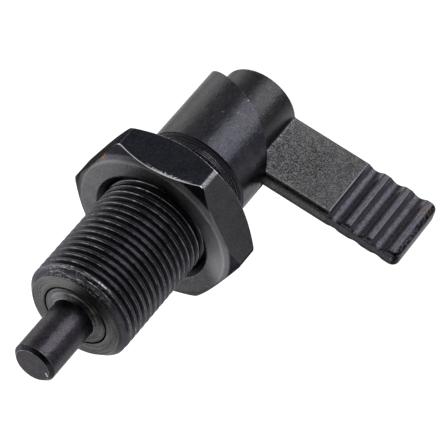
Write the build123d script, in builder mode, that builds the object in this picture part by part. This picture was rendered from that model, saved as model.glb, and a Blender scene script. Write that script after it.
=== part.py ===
from build123d import *
import os
from math import asin, atan, cos, degrees, pi, sin, sqrt

# An indexing plunger that is drawn back by a cam lever. The body screws into a plate and is
# held by a lock nut. A spring pushes the pin out at the front. At the back, the lever turns on
# the pin's stem, and its arm rides up the helical rim of the body's sleeve and pulls the pin in.
#
# Z is the axis of the plunger, and the pin points along +Z. The body's front face is Z = 0.
# The lever's arm points along +X while the pin is out. All lengths are in millimetres.

# ---------------------------------------------------------------- sizes
# thread and body
thread_diameter = 19.9
thread_pitch = 1.5
thread_depth_share = 0.6134
relief_undercut = 0.15
front_chamfer = 1.2
relief_width = 2.4
web_thickness = 3.0

# cam sleeve
sleeve_diameter = 20.0
sleeve_edge = 0.3
turn = 180.0
stroke = 14.4
cam_clearance = 0.2
stop_gap = 0.3

# pin
pin_diameter = 8.0
pin_reach = 12.6
pin_tip_chamfer = 0.7
collar_step = 1.5
collar_thickness = 3.0
stem_diameter = 6.0
stem_end_chamfer = 0.5

# guide bush
bush_length = 8.0
bush_seat_step = 0.55
bush_edge = 0.3

# spring
wire_diameter = 1.0
spring_turns = 8
spring_spare = 0.6

# lever
hub_diameter = 14.8
hub_edge = 0.4
hub_end_wall = 3.0
arm_reach = 37.6
arm_thickness = 3.6
arm_height = 14.35
arm_setback = 7.55
arm_edge_radius = 0.75
arm_corner_radius = 1.5
arm_root_radius = 0.5
grip_pitch = 4.5
grip_count = 3
grip_depth = 1.15
grip_depth_back = 0.8
grip_valley_radius = 1.8
grip_end = 1.7

# retaining dowel
dowel_diameter = 2.0
dowel_setback = 3.0
dowel_recess = 0.25

# lock nut
nut_across_flats = 30.0
nut_across_corners = 34.1
nut_thickness = 8.0
nut_face_diameter = 29.4
nut_corner_drop = 1.8
nut_countersink = 1.4
nut_setback = 23.2
nut_turn = 7.8

# fits and clearances
thread_fit = 0.05
pin_fit = 0.03
stem_fit = 0.05
hub_fit = 0.05
lever_fit = 0.04
dowel_fit = 0.1
collar_gap = 0.2
spring_gap = 0.3
hub_gap = 0.5

# ---------------------------------------------------------------- what follows from them
thread_radius = thread_diameter / 2
thread_depth = thread_depth_share * thread_pitch
relief_radius = thread_radius - thread_depth - relief_undercut
sleeve_radius = sleeve_diameter / 2
pin_radius = pin_diameter / 2
stem_radius = stem_diameter / 2
collar_radius = pin_radius + collar_step
chamber_radius = collar_radius + collar_gap
bush_radius = chamber_radius + bush_seat_step
hub_radius = hub_diameter / 2
sleeve_bore_radius = hub_radius + hub_fit
dowel_radius = dowel_diameter / 2
wire_radius = wire_diameter / 2

# levels along the axis, from the front face back
bush_back = -bush_length
collar_back = bush_back - collar_thickness
chamber_back = collar_back - stroke - spring_turns * wire_diameter - spring_spare
base = chamber_back - web_thickness
arm_front = base - arm_setback
lever_end = arm_front - arm_height
hub_front = base - hub_gap
stem_bottom = lever_end + hub_end_wall
stem_end = stem_bottom + hub_gap
dowel_level = hub_front - dowel_setback

# The ramp keeps its clearance where the arm's rounded leading edge passes the sleeve's bore.
full_circle = degrees(2 * pi)
rise_per_degree = stroke / turn
leading_edge = (arm_thickness - arm_edge_radius) / 2
leading_angle = degrees(asin(leading_edge / sleeve_bore_radius))
ramp_zero = arm_front + cam_clearance + rise_per_degree * leading_angle
crest = arm_front - stroke + cam_clearance
stop_wall = arm_thickness / 2 + stop_gap

os.makedirs("parts", exist_ok=True)

# ---------------------------------------------------------------- guide body
# The cutter for the helical rim: an upright blade that climbs one stroke in half a turn. Its
# edge stays radial, because its sweep follows the axis. It starts behind the flat wall that
# stops the arm, and it runs out beyond the level crest.
blade_margin = 1.0
blade_spare_angle = 4.0
blade_width = sleeve_radius - sleeve_bore_radius + 2 * blade_margin
blade_height = ramp_zero - crest + stroke
blade_radius = (sleeve_radius + sleeve_bore_radius) / 2
ramp_first = -degrees(asin(stop_wall / sleeve_bore_radius)) - blade_spare_angle
ramp_last = (ramp_zero - crest) / rise_per_degree + blade_spare_angle
blade_travel = rise_per_degree * (ramp_last - ramp_first)
blade_bottom = ramp_zero - rise_per_degree * ramp_last

with BuildPart() as blade_sweep:
    with BuildLine(Plane.XY.offset(blade_bottom)) as blade_path:
        Helix(
            pitch=full_circle * rise_per_degree,
            height=blade_travel,
            radius=blade_radius,
            lefthand=True,
        )
    with BuildLine(Plane.XY.offset(blade_bottom)) as blade_axis:
        Line((0, 0, 0), (0, 0, blade_travel))
    with BuildSketch(Plane.XZ):
        with Locations((blade_radius, blade_bottom)):
            Rectangle(blade_width, blade_height, align=(Align.CENTER, Align.MAX))
    sweep(path=blade_path.line, binormal=blade_axis.line.edge())

with BuildPart() as rim_cutter:
    add(blade_sweep.part, rotation=(0, 0, ramp_last))
    split(bisect_by=Plane.XZ.offset(stop_wall), keep=Keep.BOTTOM)

with BuildPart() as guide_body:
    with BuildSketch(Plane.XZ):
        with BuildLine():
            Polyline(
                (bush_radius, 0),
                (thread_radius - front_chamfer, 0),
                (thread_radius, -front_chamfer),
                (thread_radius, base + relief_width + thread_depth),
                (relief_radius, base + relief_width),
                (relief_radius, base),
                (sleeve_radius - sleeve_edge, base),
                (sleeve_radius, base - sleeve_edge),
                (sleeve_radius, crest),
                (sleeve_bore_radius, crest),
                (sleeve_bore_radius, base),
                (stem_radius + stem_fit, base),
                (stem_radius + stem_fit, chamber_back),
                (chamber_radius, chamber_back),
                (chamber_radius, bush_back),
                (bush_radius, bush_back),
                close=True,
            )
        make_face()
    revolve(axis=Axis.Z)
    add(rim_cutter.part, mode=Mode.SUBTRACT)

guide_body.part.label = "guide_body"
export_step(guide_body.part, "parts/guide_body.step")

# ---------------------------------------------------------------- guide bush
# Pressed in from the front, after the pin and the spring. The pin's collar stops against it.
with BuildPart() as guide_bush:
    with BuildSketch(Plane.XZ):
        with BuildLine():
            Polyline(
                (pin_radius + pin_fit + bush_edge, 0),
                (bush_radius - bush_edge, 0),
                (bush_radius, -bush_edge),
                (bush_radius, bush_back),
                (pin_radius + pin_fit, bush_back),
                (pin_radius + pin_fit, -bush_edge),
                close=True,
            )
        make_face()
    revolve(axis=Axis.Z)

guide_bush.part.label = "guide_bush"
export_step(guide_bush.part, "parts/guide_bush.step")

# ---------------------------------------------------------------- plunger pin
# One turned piece: locking pin, collar and stem. The dowel of the lever runs in its neck.
dowel_offset = stem_radius
neck_radius = dowel_offset - dowel_radius - dowel_fit
neck_half_width = dowel_radius + dowel_fit

with BuildPart() as plunger_pin:
    with BuildSketch(Plane.XZ):
        with BuildLine():
            Polyline(
                (0, pin_reach),
                (pin_radius - pin_tip_chamfer, pin_reach),
                (pin_radius, pin_reach - pin_tip_chamfer),
                (pin_radius, bush_back),
                (collar_radius, bush_back),
                (collar_radius, collar_back),
                (stem_radius, collar_back),
                (stem_radius, dowel_level + neck_half_width),
                (neck_radius, dowel_level + neck_half_width),
                (neck_radius, dowel_level - neck_half_width),
                (stem_radius, dowel_level - neck_half_width),
                (stem_radius, stem_end + stem_end_chamfer),
                (stem_radius - stem_end_chamfer, stem_end),
                (0, stem_end),
                close=True,
            )
        make_face()
    revolve(axis=Axis.Z)

plunger_pin.part.label = "plunger_pin"
export_step(plunger_pin.part, "parts/plunger_pin.step")

# ---------------------------------------------------------------- spring
# A compression spring round the stem, ground flat at both ends. It bears on the web at the
# back of the chamber and on the pin's collar.
spring_radius = chamber_radius - spring_gap - wire_radius
spring_length = collar_back - chamber_back
spring_pitch = spring_length / (spring_turns - 1)

with BuildPart() as spring:
    with BuildLine(Plane.XY.offset(chamber_back - wire_radius)) as coil_path:
        Helix(
            pitch=spring_pitch,
            height=spring_length + wire_diameter,
            radius=spring_radius,
        )
    with BuildSketch(Plane(coil_path.line @ 0, z_dir=coil_path.line % 0)):
        Circle(wire_radius)
    sweep(path=coil_path.line, is_frenet=True)
    split(bisect_by=Plane.XY.offset(collar_back), keep=Keep.BOTTOM)
    split(bisect_by=Plane.XY.offset(chamber_back), keep=Keep.TOP)

spring.part.label = "spring"
export_step(spring.part, "parts/spring.step")

# ---------------------------------------------------------------- lever
# A casting: a round hub that runs in the sleeve, and a flat arm with a wavy grip.
first_valley = arm_reach - grip_end - grip_pitch * (grip_count - 0.5)
last_crest = first_valley + grip_pitch * (grip_count - 0.5)


def grip_wave(depth, side):
    """What the grip takes off one broad face: valleys joined by rounded crests."""
    face = arm_thickness / 2
    slope = 2 * atan(2 * depth / grip_pitch)
    reach = grip_valley_radius * sin(slope)
    floor = face - depth
    joint = floor + grip_valley_radius * (1 - cos(slope))
    first_edge = first_valley - sqrt(grip_valley_radius**2 - (grip_valley_radius - depth) ** 2)
    with BuildSketch(Plane.XY.offset(lever_end)) as wave:
        with BuildLine():
            corner = (first_edge, side * face)
            for groove in range(grip_count):
                valley = first_valley + groove * grip_pitch
                if groove > 0:
                    rise = (valley - reach, side * joint)
                    ThreePointArc(corner, (valley - grip_pitch / 2, side * face), rise)
                    corner = rise
                fall = (valley + reach, side * joint)
                ThreePointArc(corner, (valley, side * floor), fall)
                corner = fall
            JernArc(corner, (cos(slope), side * sin(slope)), crest_radius(slope), -side * degrees(slope))
            Polyline(
                (last_crest, side * face),
                (last_crest, side * (face + depth)),
                (first_edge, side * (face + depth)),
                (first_edge, side * face),
            )
        make_face()
    return wave.sketch


def crest_radius(slope):
    """The radius that joins two valleys over a crest without a corner."""
    return grip_pitch / 2 / sin(slope) - grip_valley_radius


with BuildPart() as arm:
    with BuildSketch(Plane.XZ) as arm_side:
        with BuildLine():
            Polyline(
                (0, arm_front),
                (arm_reach, arm_front),
                (arm_reach, lever_end),
                (0, lever_end),
                close=True,
            )
        make_face()
        fillet(arm_side.vertices().group_by(Axis.X)[-1], arm_corner_radius)
    extrude(amount=arm_thickness / 2, both=True)
    broad_faces = arm.faces().filter_by(Axis.Y)
    fillet(broad_faces.edges().group_by(Axis.X)[1:], arm_edge_radius)
    extrude(grip_wave(grip_depth, 1), amount=arm_height, mode=Mode.SUBTRACT)
    extrude(grip_wave(grip_depth_back, -1), amount=arm_height, mode=Mode.SUBTRACT)

with BuildPart() as lever:
    with BuildSketch(Plane.XY.offset(lever_end)):
        Circle(hub_radius)
    extrude(amount=hub_front - lever_end)
    chamfer(lever.edges().group_by(Axis.Z)[-1], hub_edge)
    fillet(lever.edges().group_by(Axis.Z)[0], hub_edge)
    add(arm.part)
    roots = lever.edges().filter_by(Axis.Z).filter_by_position(Axis.X, stem_radius, hub_radius)
    fillet(roots, arm_root_radius)
    with BuildSketch(Plane.XY.offset(stem_bottom)):
        Circle(stem_radius + lever_fit)
    extrude(amount=hub_front - stem_bottom, mode=Mode.SUBTRACT)
    with BuildSketch(Plane.XZ):
        with Locations((-dowel_offset, dowel_level)):
            Circle(dowel_radius)
    extrude(amount=hub_diameter, both=True, mode=Mode.SUBTRACT)

lever.part.label = "lever"
export_step(lever.part, "parts/lever.step")

# ---------------------------------------------------------------- retaining dowel
# It lies across the hub beside the axis and keeps the lever on the stem, free to turn.
dowel_half = sqrt(hub_radius**2 - (dowel_offset + dowel_radius) ** 2) - dowel_recess

with BuildPart() as retaining_dowel:
    with BuildSketch(Plane.XZ):
        with Locations((-dowel_offset, dowel_level)):
            Circle(dowel_radius)
    extrude(amount=dowel_half, both=True)
    chamfer(retaining_dowel.edges().filter_by(GeomType.CIRCLE), dowel_recess)

retaining_dowel.part.label = "retaining_dowel"
export_step(retaining_dowel.part, "parts/retaining_dowel.step")

# ---------------------------------------------------------------- lock nut
nut_front = -nut_setback
nut_back = nut_front - nut_thickness

with BuildPart() as lock_nut:
    with BuildSketch(Plane.XY.offset(nut_back)):
        RegularPolygon(nut_across_flats / 2, 6, major_radius=False, rotation=nut_turn)
        Circle(thread_radius + thread_fit, mode=Mode.SUBTRACT)
    extrude(amount=nut_thickness)
    bore_edges = lock_nut.edges().filter_by(GeomType.CIRCLE)
    chamfer(bore_edges, nut_countersink)
    with BuildSketch(Plane.XZ):
        with BuildLine():
            Polyline(
                (0, nut_front),
                (nut_face_diameter / 2, nut_front),
                (nut_across_corners / 2, nut_front - nut_corner_drop),
                (nut_across_corners / 2, nut_back + nut_corner_drop),
                (nut_face_diameter / 2, nut_back),
                (0, nut_back),
                close=True,
            )
        make_face()
    revolve(axis=Axis.Z, mode=Mode.INTERSECT)

lock_nut.part.label = "lock_nut"
export_step(lock_nut.part, "parts/lock_nut.step")
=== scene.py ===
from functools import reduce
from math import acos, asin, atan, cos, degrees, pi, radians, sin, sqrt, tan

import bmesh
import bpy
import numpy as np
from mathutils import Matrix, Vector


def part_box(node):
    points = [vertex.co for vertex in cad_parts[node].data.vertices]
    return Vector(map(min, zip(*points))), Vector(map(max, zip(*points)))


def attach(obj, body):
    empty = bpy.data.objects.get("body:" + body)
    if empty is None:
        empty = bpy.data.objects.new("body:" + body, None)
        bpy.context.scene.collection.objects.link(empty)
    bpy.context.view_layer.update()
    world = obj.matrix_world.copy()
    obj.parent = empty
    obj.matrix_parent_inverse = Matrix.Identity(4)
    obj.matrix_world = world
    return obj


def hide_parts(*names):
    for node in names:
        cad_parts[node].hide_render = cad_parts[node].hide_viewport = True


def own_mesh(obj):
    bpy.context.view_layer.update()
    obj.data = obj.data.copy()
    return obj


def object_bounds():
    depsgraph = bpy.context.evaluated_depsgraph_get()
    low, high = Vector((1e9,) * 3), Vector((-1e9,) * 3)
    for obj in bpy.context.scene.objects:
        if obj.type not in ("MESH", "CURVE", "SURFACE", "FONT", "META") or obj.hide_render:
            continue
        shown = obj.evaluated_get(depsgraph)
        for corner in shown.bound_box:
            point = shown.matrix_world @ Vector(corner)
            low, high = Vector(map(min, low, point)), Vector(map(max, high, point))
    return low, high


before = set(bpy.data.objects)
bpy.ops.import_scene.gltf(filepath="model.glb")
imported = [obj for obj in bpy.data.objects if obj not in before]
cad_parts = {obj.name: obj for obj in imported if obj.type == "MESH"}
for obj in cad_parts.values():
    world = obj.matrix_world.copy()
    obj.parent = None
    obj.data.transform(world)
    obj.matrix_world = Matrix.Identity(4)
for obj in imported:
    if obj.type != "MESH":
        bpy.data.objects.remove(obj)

# %% [markdown]
# # A cam lever indexing plunger
# The real object locks a plate or a slide in place: a hardened pin drops into a hole, and a cast
# lever draws it back again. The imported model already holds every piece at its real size. This
# lesson dresses those pieces: it cuts the thread, softens the edges that light catches, and
# gives each piece its finish. All that shows is oiled, chemically blackened steel.
#
# Sizes are in millimetres while a piece is drawn, and turn into metres when its mesh is made.

MM = 0.001
cad_low, cad_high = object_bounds()


def corners_in_mm(node):
    """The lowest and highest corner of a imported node, in millimetres."""
    low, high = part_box(node)
    return low / MM, high / MM


body_low, body_high = corners_in_mm("guide_body")
pin_low, pin_high = corners_in_mm("plunger_pin")
bush_back = corners_in_mm("guide_bush")[0].z
nut_low, nut_high = corners_in_mm("lock_nut")
lever_low, lever_high = corners_in_mm("lever")
print("lever reaches", round(lever_high.x, 2), "mm from the axis")

# %% [markdown]
# ## The camera
# The camera comes first, because every later choice is judged through it. The plunger is seen
# from its pin end, a little from above, with a long lens, so that the near pin looks hardly
# larger than the far lever. A point to look at, a distance and the axes of the picture place it:
# right and down are given in the plunger's own frame, and away follows from them.

# %% Camera
PICTURE_RIGHT = Vector((0.8273, 0.1675, -0.5363))
PICTURE_DOWN = Vector((0.5262, -0.5655, 0.6352))
LOOK_AT = Vector((12.13, 13.03, -23.25))
CAMERA_DISTANCE = 500.0
LENS = 241.2
SENSOR = 36.0

right = PICTURE_RIGHT.normalized()
away = right.cross(PICTURE_DOWN).normalized()
down = away.cross(right)
turned_camera = Matrix((right, -down, -away)).transposed()

camera_data = bpy.data.cameras.new("camera")
camera_data.lens = LENS
camera_data.sensor_width = SENSOR
camera_data.clip_start = 10 * MM
camera = bpy.data.objects.new("camera", camera_data)
standing = Matrix.Translation((LOOK_AT - away * CAMERA_DISTANCE) * MM)
camera.matrix_world = standing @ turned_camera.to_4x4()
bpy.context.scene.collection.objects.link(camera)
bpy.context.scene.camera = camera
bpy.context.scene.view_settings.view_transform = "Standard"
print("camera at", [round(value / MM, 1) for value in camera.location], "mm")

# %% [markdown]
# ## A small language for finishes
# A finish is a Principled shader with nodes in front of it. Drawn by hand, a finish with wear,
# scratches and stains is a maze of wires. Here a socket behaves as a number does in Python, so
# a mask can be written as `edge * patchy`, and each sign adds one Math node. Masks that rise or
# fall smoothly between two values are used everywhere, so they have short names too.

# %% A socket that can be added, multiplied and compared


class Value:
    """One output socket of a node tree, written in sums as a number would be."""

    def __init__(self, board, socket):
        self.board = board
        self.socket = socket

    def _maths(self, operation, *terms):
        return self.board.node("ShaderNodeMath", {"operation": operation}, dict(enumerate(terms)))

    def __add__(self, other):
        return self._maths("ADD", self, other)

    __radd__ = __add__

    def __mul__(self, other):
        return self._maths("MULTIPLY", self, other)

    __rmul__ = __mul__

    def __sub__(self, other):
        return self._maths("SUBTRACT", self, other)

    def __rsub__(self, other):
        return self._maths("SUBTRACT", other, self)

    def __truediv__(self, other):
        return self._maths("DIVIDE", self, other)

    def __pow__(self, other):
        return self._maths("POWER", self, other)

    def __abs__(self):
        return self._maths("ABSOLUTE", self)

    def fraction(self):
        return self._maths("FRACT", self)

    def at_most(self, other):
        return self._maths("MINIMUM", self, other)

    def at_least(self, other):
        return self._maths("MAXIMUM", self, other)

    def rises(self, low, high):
        """0 where the value is below low, 1 where it is above high and smooth between them."""
        return self.board.node(
            "ShaderNodeMapRange",
            {"interpolation_type": "SMOOTHSTEP"},
            {"Value": self, "From Min": low, "From Max": high},
        )

    def falls(self, low, high):
        """1 where the value is below low, 0 where it is above high and smooth between them."""
        return 1 - self.rises(low, high)

    def close_to(self, middle, inner, outer):
        """1 where the value is within inner of a middle one, and 0 beyond outer."""
        return abs(self - middle).falls(inner, outer)

    def swing(self, strength):
        """Noise from 0 to 1 made to swing about 0, by half the strength to either side."""
        return (self - 0.5) * strength


# %% [markdown]
# A board is a node tree with one method that makes any node: first the settings, then the
# values or links of the sockets. A mix of colours and a change of tone have names of their own.

# %% A board of nodes


def socket_named(sockets, key):
    """A socket by its number, its identifier or its name."""
    if isinstance(key, int):
        return sockets[key]
    for socket in sockets:
        if socket.identifier == key or (socket.name == key and socket.enabled):
            return socket
    raise KeyError(key)


class Board:
    """A node tree, filled by one method."""

    def __init__(self, tree):
        self.tree = tree

    def node(self, kind, settings, sockets, output=0):
        """Makes one node: its settings come first, then the values or links of its sockets."""
        made = self.tree.nodes.new(kind)
        for key, value in settings.items():
            setattr(made, key, value)
        for key, value in sockets.items():
            target = socket_named(made.inputs, key)
            if isinstance(value, Value):
                self.tree.links.new(value.socket, target)
            else:
                target.default_value = value
        return Value(self, socket_named(made.outputs, output))

    def mix(self, factor, first, second):
        """A colour that goes from first to second as factor goes from 0 to 1."""
        first, second = (
            colour if isinstance(colour, Value) else (*colour, 1.0) for colour in (first, second)
        )
        return self.node(
            "ShaderNodeMix",
            {"data_type": "RGBA"},
            {"Factor_Float": factor, "A_Color": first, "B_Color": second},
            "Result_Color",
        )

    def tone(self, colour, gain):
        """A colour made darker or lighter by a factor."""
        return self.node("ShaderNodeVectorMath", {"operation": "SCALE"}, {0: colour, "Scale": gain})

    def seen_directly(self):
        """1 for a ray that shows the surroundings: to the camera, in gloss or through glass."""
        camera, gloss, through = (
            self.node("ShaderNodeLightPath", {}, {}, f"Is {kind} Ray")
            for kind in ("Camera", "Glossy", "Transmission")
        )
        return camera.at_least(gloss).at_least(through)


# %% [markdown]
# A finish is a board with a Principled shader on it. It knows where a point lies in millimetres,
# how far it is from the axis and how far along its own surface a lathe tool would have come. A
# noise that is fine along that path and slow around the axis looks like turning marks.

# %% A finish
NOWHERE = (0.0, 0.0, 0.0)
EVENLY = (1.0, 1.0, 1.0)
SOFT_CORE = 0.4
FACING_SHARE = 0.8
RING_ROUGH = 0.6
BUMP_STRENGTH = 0.8
BUMP_DEPTH = 0.03


class Finish(Board):
    """A material with one Principled shader and the nodes that feed it."""

    def __init__(self, name, constants):
        self.material = bpy.data.materials.new(name)
        self.material.use_nodes = True
        super().__init__(self.material.node_tree)
        self.shader = self.tree.nodes["Principled BSDF"]
        for socket, value in constants.items():
            self.shader.inputs[socket].default_value = value
        place = self.node("ShaderNodeTexCoord", {}, {}, "Object")
        self.place = self.tone(place, 1 / MM)
        self.x, self.y, self.z = (
            self.node("ShaderNodeSeparateXYZ", {}, {0: self.place}, axis) for axis in "XYZ"
        )
        self.radius = (self.x * self.x + self.y * self.y) ** 0.5
        self.path = self.radius * FACING_SHARE - self.z

    def noise(self, place, detail, rough):
        """Noise from 0 to 1 over a vector whose unit is one patch."""
        sockets = {"Vector": place, "Scale": 1.0, "Detail": detail, "Roughness": rough}
        return self.node("ShaderNodeTexNoise", {}, sockets, "Fac")

    def cloud(self, size, detail, rough, shift=NOWHERE, stretch=EVENLY, turn=NOWHERE):
        """Noise whose patches are about size millimetres across, longer where stretched."""
        scale = tuple(1.0 / (size * part) for part in stretch)
        rotation = tuple(radians(angle) for angle in turn)
        point = {"vector_type": "POINT"}
        turned_place = self.node(
            "ShaderNodeMapping", point, {"Vector": self.place, "Rotation": rotation},
        )
        sockets = {"Vector": turned_place, "Location": shift, "Scale": scale}
        return self.noise(self.node("ShaderNodeMapping", point, sockets), detail, rough)

    def turning(self, fine, slow, detail=2.0, shift=0.0):
        """Rings left by a lathe tool: fine millimetres apart, changing over slow around."""
        sockets = {"X": self.x / slow + shift, "Y": self.y / slow, "Z": self.path / fine}
        return self.noise(self.node("ShaderNodeCombineXYZ", {}, sockets), detail, RING_ROUGH)

    def toward(self, azimuth):
        """How far a point lies from the axis, measured in one direction."""
        return self.x * cos(radians(azimuth)) + self.y * sin(radians(azimuth))

    def near(self, reach, *points):
        """1 at each of a few points and 0 beyond their reach, for marks that lie there."""
        spots = []
        for point in points:
            sockets = {0: self.place, 1: point}
            away_from = self.node(
                "ShaderNodeVectorMath", {"operation": "DISTANCE"}, sockets, "Value",
            )
            spots.append(away_from.falls(reach * SOFT_CORE, reach))
        return reduce(Value.at_least, spots)

    def worn(self):
        """How near an edge that gets rubbed lies, from 0 to 1, as the mesh carries it."""
        return self.node("ShaderNodeAttribute", {"attribute_name": "worn"}, {}, "Fac")

    def feed(self, socket, value):
        self.tree.links.new(value.socket, self.shader.inputs[socket])

    def surface(self, colour, rough, height, depth=BUMP_DEPTH):
        """Feeds colour and roughness, and tilts the light by a height times depth millimetres."""
        self.feed("Base Color", colour)
        self.feed("Roughness", rough)
        sockets = {"Height": height, "Distance": depth * MM, "Strength": BUMP_STRENGTH}
        self.feed("Normal", self.node("ShaderNodeBump", {}, sockets))


# %% [markdown]
# ## Drawing a piece
# Almost everything on a plunger was turned on a lathe, so a piece is a grid: its rows are the
# points of a profile, and its columns are angles round the axis. A thread, a hexagon or a cam
# is the same grid with its rows bent. A profile with sharp corners looks like a computer drew
# it, so each corner gets a small arc that catches a line of light. Beside the arc lies a guard
# point, which keeps the shading of the flat next to it flat, and the arc itself is marked as
# worn, for the finish to rub bright.

# %% Soft corners
ARC_POINTS = 4
GUARD = 0.25
ARC_ROOM = 0.4
TINY = 1e-9


def unit(vector):
    return vector / max(np.linalg.norm(vector), TINY)


def arc(centre, radius, first, last, count):
    """Points on an arc round a centre, from one unit direction to another."""
    sweep = acos(np.clip(first @ last, -1.0, 1.0))
    spokes = [
        (sin((1 - share) * sweep) * first + sin(share * sweep) * last) / sin(sweep)
        for share in np.linspace(0, 1, count)
    ]
    return [centre + spoke * radius for spoke in spokes]


def soften(corners):
    """Rounds the corners of a profile: each is (radius, height, rounding, wear), or only
    (radius, height) where it stays sharp. Gives points (radius, height, wear)."""
    points = [np.array(corner[:2], float) for corner in corners]
    softened = [(*points[0], 0.0)]
    for index in range(1, len(corners) - 1):
        rounding, wear = corners[index][2:] or (0, 0)
        here = points[index]
        if rounding == 0:
            softened.append((*here, 0.0))
            continue
        before, after = points[index - 1] - here, points[index + 1] - here
        back, ahead = unit(before), unit(after)
        half = acos(np.clip(back @ ahead, -1.0, 1.0)) / 2
        room = ARC_ROOM * min(np.linalg.norm(before), np.linalg.norm(after))
        tangent = min(rounding / tan(half), room)
        radius = tangent * tan(half)
        centre = here + unit(back + ahead) * radius / sin(half)
        first = unit(here + back * tangent - centre)
        last = unit(here + ahead * tangent - centre)
        to_guard = tangent + min(GUARD, room / 4)
        softened.append((*(here + back * to_guard), 0.0))
        for point in arc(centre, radius, first, last, ARC_POINTS):
            softened.append((*point, wear))
        softened.append((*(here + ahead * to_guard), 0.0))
    softened.append((*points[-1], 0.0))
    return np.array(softened)


# %% From grids to a piece
MERGE = 1e-6
SHARP = radians(32)


def around_axis(radius, angle, height, worn):
    """Points (x, y, z, wear) from what is known of them round the axis."""
    x, y = radius * np.cos(angle), radius * np.sin(angle)
    return np.stack(np.broadcast_arrays(x, y, height, worn), axis=-1)


def turned(profile, angles):
    """The grid that a profile of (radius, height, wear) leaves when it goes round the axis."""
    radius, height, worn = np.array(profile, float).T[:, :, None]
    return around_axis(radius, angles, height, worn)


def grid_quads(rows, columns, first, wraps):
    """Quads between the neighbours of a grid whose points start at number first."""
    number = first + np.arange(rows * columns).reshape(rows, columns)
    beside = np.roll(number, -1, axis=1) if wraps else number[:, 1:]
    number = number if wraps else number[:, :-1]
    quads = np.stack([number[:-1], beside[:-1], beside[1:], number[1:]], axis=-1)
    return quads.reshape(-1, 4)


def make_mesh(name, grids, caps=()):
    """One closed mesh from grids of (x, y, z, wear), each with its wrap, and flat caps."""
    points, faces = [], []
    count = 0
    for grid, wraps in grids:
        rows, columns = grid.shape[:2]
        faces.extend(grid_quads(rows, columns, count, wraps).tolist())
        points.append(grid.reshape(-1, 4))
        count += rows * columns
    for cap in caps:
        faces.append(list(range(count, count + len(cap))))
        points.append(np.asarray(cap, float)[:, :4])
        count += len(cap)
    points = np.concatenate(points)
    mesh = bpy.data.meshes.new(name)
    mesh.from_pydata((points[:, :3] * MM).tolist(), [], faces)
    worn = mesh.attributes.new("worn", "FLOAT", "POINT")
    worn.data.foreach_set("value", points[:, 3].astype(np.float32))
    work = bmesh.new()
    work.from_mesh(mesh)
    bmesh.ops.remove_doubles(work, verts=work.verts, dist=MERGE)
    bmesh.ops.dissolve_degenerate(work, edges=work.edges, dist=MERGE / 10)
    bmesh.ops.recalc_face_normals(work, faces=work.faces)
    open_edges = sum(1 for edge in work.edges if not edge.is_manifold)
    work.to_mesh(mesh)
    work.free()
    mesh.polygons.foreach_set("use_smooth", [True] * len(mesh.polygons))
    mesh.set_sharp_from_angle(angle=SHARP)
    print(name, len(mesh.vertices), "points", len(mesh.polygons), "faces", open_edges, "open edges")
    return mesh


def make_piece(name, mesh, finish, body, node):
    """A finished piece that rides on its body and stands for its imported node."""
    piece = bpy.data.objects.new(name, mesh)
    mesh.materials.append(finish.material)
    bpy.context.scene.collection.objects.link(piece)
    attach(piece, body)
    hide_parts(node)
    return piece


# %% [markdown]
# ## The body
# The body is one turned bar: threaded barrel, thread relief and cam sleeve. Its hardest part is
# the rim of the sleeve, which climbs one stroke in half a turn, stays level as a crest and then
# drops down a flat wall. The rim is drawn column by column: each column of the grid is a full
# section of the body, and only the height of its rim changes. At the wall, the first and the
# last column lie in the same plane, and one flat face closes the step between them.

# %% Body sizes
THREAD_PITCH = 1.5
THREAD_DEPTH = 0.74
THREAD_RADIUS = 9.95
FRONT_CHAMFER = 1.2
RELIEF_RADIUS = 8.88
RELIEF_WIDTH = 2.4
RELIEF_RING = RELIEF_WIDTH / 6
RELIEF_RING_DEPTH = 0.06
SLEEVE_BASE = -37.0
RELIEF_FRONT = SLEEVE_BASE + RELIEF_WIDTH
SLEEVE_EDGE = 0.3
SLEEVE_BORE = 7.45
STEM_HOLE = 3.05
CHAMBER_BACK = -34.0
CHAMBER_RADIUS = 5.7
BUSH_RADIUS = 6.25
STROKE = 14.4
RISE_PER_DEGREE = STROKE / 180
RAMP_ZERO = -43.47
STOP_WALL = 2.1
RIM_ROUNDING = 0.14

sleeve_radius = body_high.x
crest = body_low.z


def wall_angle(radius):
    """Where the flat stop wall lies on a circle round the axis."""
    return -asin(STOP_WALL / radius)


ramp_end = radians((RAMP_ZERO - crest) / RISE_PER_DEGREE)
RAMP_COLUMNS = 90
CREST_COLUMNS = 70
first_angle = wall_angle(sleeve_radius)
body_angles = np.concatenate([
    np.linspace(first_angle, ramp_end, RAMP_COLUMNS, endpoint=False),
    np.linspace(ramp_end, first_angle + 2 * pi, CREST_COLUMNS + 1),
])
print("ramp ends at", round(degrees(ramp_end), 1), "degrees")

# %% [markdown]
# The sleeve's outer wall needs more rows beside the high crest than beside the low foot of the
# ramp. A line of points runs round the wall and falls back to the foot's height, and the rows
# above that line shrink to nothing along the ramp, where their points merge.

# %% The sections of the body
LOWER_ROWS = 5
UPPER_ROWS = 5
RING_ROWS = 45
WALL_SPREAD = 10
SAME_POINT = 0.005


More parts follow.
